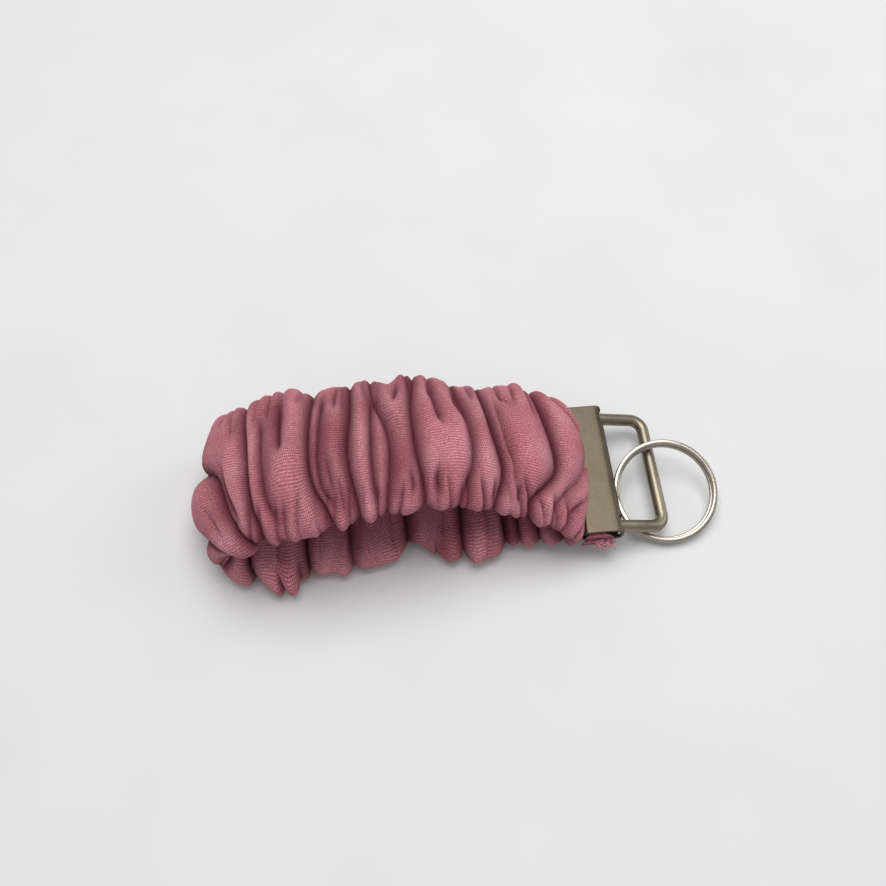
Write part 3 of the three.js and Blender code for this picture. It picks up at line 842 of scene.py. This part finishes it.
        press_below, press_rest, press_scale = 0.9, 0.08, 0.82  # the weight flattens what would lie lower
        pressed = press_rest + press_scale * np.exp(np.minimum(pz - press_below, 0.0) / press_scale)
        pz = np.where(pz < press_below, pressed, pz)
        points = np.stack([px, across, pz], -1)
        step = np.linalg.norm(np.diff(points, axis=0), axis=2)
        run = np.vstack([np.zeros((1, points.shape[1])), np.cumsum(step, axis=0)])
        reach, spread = 24, 9.0  # columns that the cloth's length along the strap is averaged over
        kernel = np.exp(-0.5 * (np.arange(-reach, reach + 1) / spread) ** 2)
        wide = np.pad(run, ((0, 0), (reach, reach)), mode="wrap")
        run = np.stack([np.convolve(row, kernel / kernel.sum(), mode="valid") for row in wide])
        drift = 1.7 * value_noise(13, s, q, 11.0, 15.0, self.girth)
        drift = drift + 0.5 * value_noise(17, s, q, 4.0, 9.0, self.girth)
        uv = np.stack([run, q + drift], -1) / UV_MM
        return points, uv, full

    def sideways(self, s: np.ndarray) -> np.ndarray:
        """Works out how far the strap's middle lies to the far side.

        It is the mean of five readings, 3 mm apart, of the straight lines between sway's places, brought to
        nothing over the last 8 mm at each mouth.

        Args:
            s: length along the strap.

        Returns:
            The shift at each place.
        """
        places, shifts = np.array(self.sway).T
        mean = sum(np.interp(s + d, places, shifts) for d in (-6, -3, 0, 3, 6)) / 5
        return mean * smooth(s, 0, 8) * smooth(places[-1] - s, 0, 8)

    def band(self, finishes: FinishSet) -> bpy.types.Object:
        """Builds the flat elastic on the sleeve's own middle line: a soft-edged strip carried along it.

        Args:
            finishes: the finishes to take from.

        Returns:
            The elastic.
        """
        length, centre = spline(np.array(self.path), 900)
        start = np.interp(-self.mouth, -centre[:200, 0], length[:200])
        keep = (centre[:, 0] < self.mouth - 3.0) & (length > 1.0)
        x, z = centre[keep].T
        route = np.stack([x, self.sideways(length[keep] - start), z], -1)
        along = np.gradient(route, axis=0)
        along /= np.linalg.norm(along, axis=1)[:, None]
        outward = np.stack([along[:, 2], along[:, 1] * 0, -along[:, 0]], -1)
        v = 2 * math.pi * np.arange(24) / 24
        section = np.stack([self.band_width / 2 * np.sign(np.cos(v)) * np.abs(np.cos(v)) ** 0.12,
                            self.band_thick / 2 * np.sign(np.sin(v)) * np.abs(np.sin(v)) ** 0.5], -1)
        across = np.broadcast_to([0.0, 1.0, 0.0], route.shape)
        points = route[:, None] + section[None, :, :1] * across[:, None] + section[None, :, 1:] * outward[:, None]
        band = mesh_from_grid("flat_elastic", points, close_columns=True, caps=True, flip=True)
        finishes.dress(band, Finish.ELASTIC)
        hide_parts("elastic_band")
        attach(band, "strap")
        return band

    def build(self, finishes: FinishSet) -> bpy.types.Object:
        points, uv, full = self.surface()
        sleeve = mesh_from_grid("gathered_sleeve", points, uv=uv, fullness=full)
        finishes.dress(sleeve, Finish.JERSEY)
        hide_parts("fabric_sleeve")
        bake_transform(sleeve)
        return sleeve


# ---------------------------------------------------------------- clamp, loop and ring


@dataclass
class CrimpClamp:
    """The folded and crimped sheet. Sizes in millimetres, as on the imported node."""

    sheet: float = 0.7
    half_width: float = 16.0
    mouth: float = 28.4
    fold: float = 35.0
    plane: float = 7.0
    outer: float = 2.4
    lip: float = 0.95
    tooth_pitch: float = 2.0
    tooth_height: float = 0.7
    arm: float = 13.8
    slot_half: float = 1.65
    slot_angle: float = math.radians(52)
    fold_power: float = 3.2  # 2 is a round fold, more is a squarer one

    def surface(self) -> np.ndarray:
        """Works out the middle of the sheet on a grid along its outline and across the clamp.

        The outline runs from the upper lip's teeth up, round a small corner, along the plate, round the fold by
        (fold + r c, plane + r s), with c and s the cosine and the sine to 2 / fold_power, and back the same way
        below. A tooth shortens a lip by a triangle wave.

        Returns:
            Points, rows by columns by 3.
        """
        r = self.outer - self.sheet / 2
        corner = 0.55
        left = self.mouth + self.sheet / 2
        edges = [-self.half_width, -self.arm - self.slot_half, -self.arm + self.slot_half, self.arm - self.slot_half,
                 self.arm + self.slot_half, self.half_width]
        spacing = 0.4
        spans = [np.linspace(a, b, max(int(round((b - a) / spacing)), 2) + 1) for a, b in zip(edges, edges[1:])]
        y = np.unique(np.concatenate(spans).round(4))
        tooth = self.tooth_height * (1 - np.abs(2 * ((y / self.tooth_pitch) % 1.0) - 1))
        turn = np.linspace(0, math.pi / 2, 6)[1:]
        lip_z = np.linspace(self.lip, r - corner, 5)
        upper = [(left, z, 1.0 - k / 4) for k, z in enumerate(lip_z)]
        upper += [(left + corner * (1 - math.cos(a)), r - corner + corner * math.sin(a), 0.0) for a in turn]
        upper += [(x, r, 0.0) for x in np.linspace(left + corner, self.fold, 12)[1:]]
        angles = np.linspace(math.pi / 2, -math.pi / 2, 31)[1:-1]
        square = 2 / self.fold_power
        bend = [(self.fold + r * abs(math.cos(a)) ** square,
                 math.copysign(r * abs(math.sin(a)) ** square, a), 0.0) for a in angles]
        lower = [(x, -z, t) for x, z, t in reversed(upper)]
        rows = np.array(upper + bend + lower)
        sign = np.sign(rows[:, 1])[:, None]
        z = self.plane + rows[:, 1][:, None] + sign * rows[:, 2][:, None] * tooth[None, :]
        x = np.broadcast_to(rows[:, 0][:, None], z.shape)
        return np.stack([x, np.broadcast_to(y, z.shape), z], -1)

    def build(self, finishes: FinishSet) -> bpy.types.Object:
        """Builds the clamp with its two slots, its thickness and its rounded edges, and returns it."""
        clamp = mesh_from_grid("clamp_shell", self.surface(), flip=True)
        mesh = clamp.data
        centre = np.zeros(len(mesh.polygons) * 3)
        mesh.polygons.foreach_get("center", centre)
        centre = centre.reshape(-1, 3) / MM
        inside = np.abs(np.abs(centre[:, 1]) - self.arm) < self.slot_half
        tilt = np.arctan2(centre[:, 2] - self.plane, centre[:, 0] - self.fold)
        slots = inside & (centre[:, 0] > self.fold) & (np.abs(tilt) < self.slot_angle)
        work = bmesh.new()
        work.from_mesh(mesh)
        work.faces.ensure_lookup_table()
        bmesh.ops.delete(work, geom=[work.faces[k] for k in np.flatnonzero(slots)], context="FACES")
        work.to_mesh(mesh)
        work.free()
        thick = clamp.modifiers.new("sheet", "SOLIDIFY")
        thick.thickness, thick.offset = self.sheet * MM, 0.0
        bevel = clamp.modifiers.new("rounded_edges", "BEVEL")
        bevel.width, bevel.segments = 0.14 * MM, 2
        bevel.limit_method, bevel.angle_limit = "ANGLE", math.radians(50)
        finishes.dress(clamp, Finish.SATIN_SHEET)
        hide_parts("crimp_clamp")
        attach(clamp, "clamp")
        return clamp


@dataclass
class SwingLoop:
    """The bent wire that swings in the clamp's fold. Sizes in millimetres."""

    wire: float = 2.8
    reach: float = 12.6
    arm: float = 13.8
    corner: float = 2.9
    base_corner: float = 1.6
    butt_gap: float = 0.3
    swing: float = math.radians(12.6)
    pivot: tuple[float, float, float] = (35.0, 0.0, 7.0)

    def route(self) -> np.ndarray:
        """Works out the wire's centre line: a rounded rectangle, each corner at centre + r (sin a, -cos a)."""
        line = [np.array([[0, -self.butt_gap / 2]])]
        corners = [(self.base_corner, -self.arm + self.base_corner, self.base_corner, -math.pi / 2),
                   (self.reach - self.corner, -self.arm + self.corner, self.corner, 0.0),
                   (self.reach - self.corner, self.arm - self.corner, self.corner, math.pi / 2),
                   (self.base_corner, self.arm - self.base_corner, self.base_corner, math.pi)]
        for x, y, r, start in corners:
            a = start + np.linspace(0, math.pi / 2, 17)
            line.append(np.stack([x + r * np.sin(a), y - r * np.cos(a)], -1))
        line.append(np.array([[0, self.butt_gap / 2]]))
        return np.vstack(line)

    def tilted(self, flat: np.ndarray) -> np.ndarray:
        """Turns vectors in the loop's plane down by the swing: (x cos a, y, -x sin a)."""
        return np.stack([flat[:, 0] * math.cos(self.swing), flat[:, 1], -flat[:, 0] * math.sin(self.swing)], -1)

    def build(self, finishes: FinishSet) -> bpy.types.Object:
        """Builds the loop, tilted on its pivot, and returns it."""
        flat = self.route()
        dense = np.vstack([np.linspace(a, b, max(int(np.hypot(*(b - a)) / 0.9), 1), endpoint=False)
                           for a, b in zip(flat, flat[1:])] + [flat[-1:]])
        along = np.gradient(dense, axis=0)
        along /= np.linalg.norm(along, axis=1)[:, None]
        out = np.stack([along[:, 1], -along[:, 0]], -1)
        angle = 2 * math.pi * (np.arange(28) + 0.5) / 28
        section = 0.5 * self.wire * np.stack([np.cos(angle), np.sin(angle)], -1)
        up = np.array([[math.sin(self.swing), 0, math.cos(self.swing)]])
        loop = sweep("wire_loop", self.tilted(dense) + np.array(self.pivot), self.tilted(out), up, section)
        finishes.dress(loop, Finish.SATIN_WIRE)
        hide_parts("swing_loop")
        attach(loop, "swing_loop")
        return loop


@dataclass
class KeyRing:
    """The split ring: a flattened wire wound for two turns, with a jog where one turn steps up. In millimetres."""

    diameter: float = 24.0
    band: float = 1.6  # both turns together, the upper one further out
    wire: float = 1.2
    turn: float = 0.95
    gap: float = 0.15
    jog: float = math.radians(28)
    starts: float = math.radians(215)
    ahead: float = 2.0
    aside: float = 5.2
    off_floor: float = 0.2
    loop: SwingLoop = field(default_factory=SwingLoop)

    def build(self, finishes: FinishSet) -> bpy.types.Object:
        """Builds the ring: (r cos v, r sin v, h), with r and h smooth steps at the jog, leaned and moved.

        Args:
            finishes: the finishes to take from.

        Returns:
            The ring.
        """
        rise = (self.turn + self.gap) / 2
        turned = np.linspace(0, 4 * math.pi - self.jog - math.radians(3), 361)
        angle = turned + self.starts
        step = 2 * smooth(turned, 2 * math.pi - self.jog, 2 * math.pi) - 1
        height = rise * step
        radius = (self.diameter - self.band) / 2 + (self.band - self.wire) / 2 * step
        route = np.stack([radius * np.cos(angle), radius * np.sin(angle), height], -1)
        out = np.stack([np.cos(angle), np.sin(angle), np.zeros_like(angle)], -1)
        v = 2 * math.pi * np.arange(20) / 20
        wide, thick = self.wire / 2, self.turn / 2
        section = np.stack([wide * np.sign(np.cos(v)) * np.abs(np.cos(v)) ** 0.62,
                            thick * np.sign(np.sin(v)) * np.abs(np.sin(v)) ** 0.62], -1)
        loop = self.loop
        bar_top = loop.pivot[2] - loop.reach * math.sin(loop.swing) + loop.wire / 2
        reach = math.sqrt((self.diameter / 2 - self.band) ** 2 - self.ahead ** 2)
        lean = math.asin((bar_top + 0.3) / (self.diameter / 2 + reach))
        lift = self.off_floor + self.diameter / 2 * math.sin(lean) + (self.turn + self.gap / 2) * math.cos(lean)
        place = np.array([loop.pivot[0] + loop.reach * math.cos(loop.swing) + self.ahead, -self.aside, lift])
        turn = np.array([[1, 0, 0], [0, math.cos(lean), -math.sin(lean)], [0, math.sin(lean), math.cos(lean)]])
        ring = sweep("two_turn_ring", route @ turn.T + place, out @ turn.T, turn[:, 2][None, :], section)
        finishes.dress(ring, Finish.BRIGHT_WIRE)
        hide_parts("split_ring")
        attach(ring, "split_ring")
        return ring


# ---------------------------------------------------------------- cloth ends in the clamp


@dataclass
class CrimpedEnds:
    """The strap's flattened ends inside the clamp, and the raw edge with its pulled threads. In millimetres."""

    start: float = 29.4
    end: float = 33.3
    half_width: float = 15.2
    plane: float = 7.0
    layer: float = 0.62
    layers: int = 4
    threads: int = 70

    def layer_mesh(self, index: int) -> bpy.types.Object:
        """Builds one layer of cloth: a flattened tube across the clamp whose ends stand proud and wavy.

        Args:
            index: the layer's number, from the lowest.

        Returns:
            The layer.
        """
        rng = np.random.default_rng(100 + index)
        level = self.plane + (index - (self.layers - 1) / 2) * (self.layer + 0.04)
        reach_near, reach_far = rng.uniform(1.2, 2.1), rng.uniform(0.0, 0.4)
        y = np.linspace(-self.half_width - reach_near, self.half_width + reach_far, 90)
        v = 2 * math.pi * np.arange(16) / 16
        spread = smooth(-y, self.half_width + 0.5, self.half_width + 2.4)[:, None]
        middle = (self.start + self.end) / 2 + 0.5 * spread
        half = (self.end - self.start) / 2 + 2.0 * spread
        ends = np.minimum(y - y[0], y[-1] - y)
        taper = 0.55 + 0.45 * smooth(ends, 0.0, 0.5)
        x = middle + half * (np.sign(np.cos(v)) * np.abs(np.cos(v)) ** 0.35)[None, :] * np.ones_like(y)[:, None]
        wave = 0.12 * np.sin(y * 1.9 + index)[:, None] + 0.5 * spread * np.sin(1.7 * x + 2.1 * index)
        droop = -0.7 * spread
        rounded = (np.sign(np.sin(v)) * np.abs(np.sin(v)) ** 0.6)[None, :]
        z = level + self.layer / 2 * taper[:, None] * rounded + 0.3 * wave + droop
        points = np.stack([x + wave, np.broadcast_to(y[:, None], x.shape), z], -1)
        uv = np.stack([x, y[:, None] + 0 * x], -1) / UV_MM
        # A fullness of 0.6 gives these layers half of the painted crease shade.
        return mesh_from_grid(f"cloth_layer_{index}", points, close_columns=True, caps=True, uv=uv,
                              fullness=np.full(x.shape, 0.6))

    def thread_mesh(self, index: int, rng: np.random.Generator) -> bpy.types.Object:
        """Builds one pulled thread: a thin tube along root + t * reach + t^2 * curl, t from 0 to 1.

        Args:
            index: the thread's number.
            rng: where its random values come from.

        Returns:
            The thread.
        """
        place = rng.choice([rng.normal(32.3, 0.5), rng.normal(34.7, 0.3)], p=[0.85, 0.15])
        root = np.array([place, -self.half_width - rng.uniform(0.9, 2.3), self.plane - rng.uniform(0.2, 1.8)])
        reach = np.array([rng.uniform(-0.6, 0.6), -rng.uniform(0.2, 1.1), rng.uniform(-1.1, 0.3)])
        curl = np.array([rng.uniform(-0.9, 0.9), rng.uniform(-0.6, 0.4), rng.uniform(-1.0, 0.5)])
        t = np.linspace(0, 1, 9)[:, None]
        route = root + t * reach + t ** 2 * curl
        route[:, 2] = np.maximum(route[:, 2], 0.3)
        along = np.gradient(route, axis=0)
        along /= np.linalg.norm(along, axis=1)[:, None]
        side = np.cross(along, [1.0, 0.2, 0.1])
        side /= np.linalg.norm(side, axis=1)[:, None]
        up = np.cross(side, along)
        v = 2 * math.pi * np.arange(6) / 6
        section = 0.1 * np.stack([np.cos(v), np.sin(v)], -1)
        return sweep(f"pulled_thread_{index}", route, side, up, section)

    def build(self, finishes: FinishSet) -> None:
        """Builds and dresses the layers and the threads."""
        stack = join_meshes("cloth_stack", [self.layer_mesh(k) for k in range(self.layers)])
        finishes.dress(stack, Finish.JERSEY)
        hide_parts("crimped_strap_ends")
        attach(stack, "clamp")
        rng = np.random.default_rng(12)
        fringe = join_meshes("frayed_edge", [self.thread_mesh(k, rng) for k in range(self.threads)])
        finishes.dress(fringe, Finish.THREAD)
        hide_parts("raw_edge_fringe")
        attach(fringe, "clamp")
        log.info("cloth stack and frayed edge: %d layers, %d threads", self.layers, self.threads)


# ---------------------------------------------------------------- floor, light and camera


@dataclass
class Studio:
    """The pale floor, the soft light and the camera. Distances in metres."""

    target: tuple[float, float, float] = (0.0, 0.0144, 0.0)
    toward: tuple[float, float, float] = (-0.0442, -0.4859, 0.8729)
    distance: float = 0.2234
    lens: float = 37.62
    sensor: float = 36.0

    def camera(self) -> None:
        """Places the camera: at target + distance * toward, looking at the target with no roll."""
        data = bpy.data.cameras.new("camera")
        data.lens, data.sensor_width, data.sensor_fit = self.lens, self.sensor, "HORIZONTAL"
        data.clip_start, data.clip_end = 0.01, 20
        camera = bpy.data.objects.new("camera", data)
        back = Vector(self.toward).normalized()
        right = Vector((0, 0, 1)).cross(back).normalized()
        up = back.cross(right)
        turn = Matrix((right, up, back)).transposed().to_4x4()
        camera.matrix_world = Matrix.Translation(Vector(self.target) + back * self.distance) @ turn
        bpy.context.scene.collection.objects.link(camera)
        bpy.context.scene.camera = camera

    def lamp(self, name: str, place: tuple[float, float, float], size: float, power: float, colour: str) -> None:
        """Adds a square area lamp that points at the object.

        Args:
            name: the lamp's name.
            place: where it is.
            size: its side.
            power: in watts.
            colour: sRGB hex.
        """
        data = bpy.data.lights.new(name, "AREA")
        data.shape, data.size, data.energy, data.color = "SQUARE", size, power, linear(colour)[:3]
        lamp = bpy.data.objects.new(name, data)
        lamp.location = place
        lamp.rotation_euler = (Vector((0, 0, 0.01)) - Vector(place)).to_track_quat("-Z", "Y").to_euler()
        bpy.context.scene.collection.objects.link(lamp)

    def build(self) -> None:
        """Builds the floor, the lamps, the surrounding light and the camera."""
        size = 12.0
        near, far = [[-size, -size, 0], [size, -size, 0]], [[-size, size, 0], [size, size, 0]]
        grid = np.array([near, far]) / MM
        floor = mesh_from_grid("floor", grid)
        floor.data.materials.append(PaleBoard().build())
        self.lamp("overhead", (0.02, 0.2, 0.75), 0.6, 4.7, "#FFFEFC")
        self.lamp("side", (0.8, 0.1, 0.35), 0.6, 1.6, "#F7F9FF")
        world = bpy.data.worlds.new("surroundings")
        world.use_nodes = True
        sky = world.node_tree.nodes["Background"]
        sky.inputs["Color"].default_value = linear("#F2F3F4")
        sky.inputs["Strength"].default_value = 0.5
        bpy.context.scene.world = world
        self.camera()
        scene = bpy.context.scene
        scene.view_settings.view_transform = "Standard"


def report(piece: bpy.types.Object) -> None:
    """Logs a piece's name and number of faces.

    Args:
        piece: the object.
    """
    log.info("%s: %d faces", piece.name, len(piece.data.polygons))


def main() -> None:
    logging.basicConfig(level=logging.INFO, format="%(message)s")
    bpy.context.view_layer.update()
    Studio().build()
    finishes = FinishSet()
    sleeve = GatheredSleeve()
    report(sleeve.band(finishes))
    report(sleeve.build(finishes))
    report(CrimpClamp().build(finishes))
    report(SwingLoop().build(finishes))
    report(KeyRing().build(finishes))
    CrimpedEnds().build(finishes)
    finishes.dress(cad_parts["end_tack_thread"], Finish.THREAD)
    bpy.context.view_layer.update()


if __name__ == "__main__":
    main()
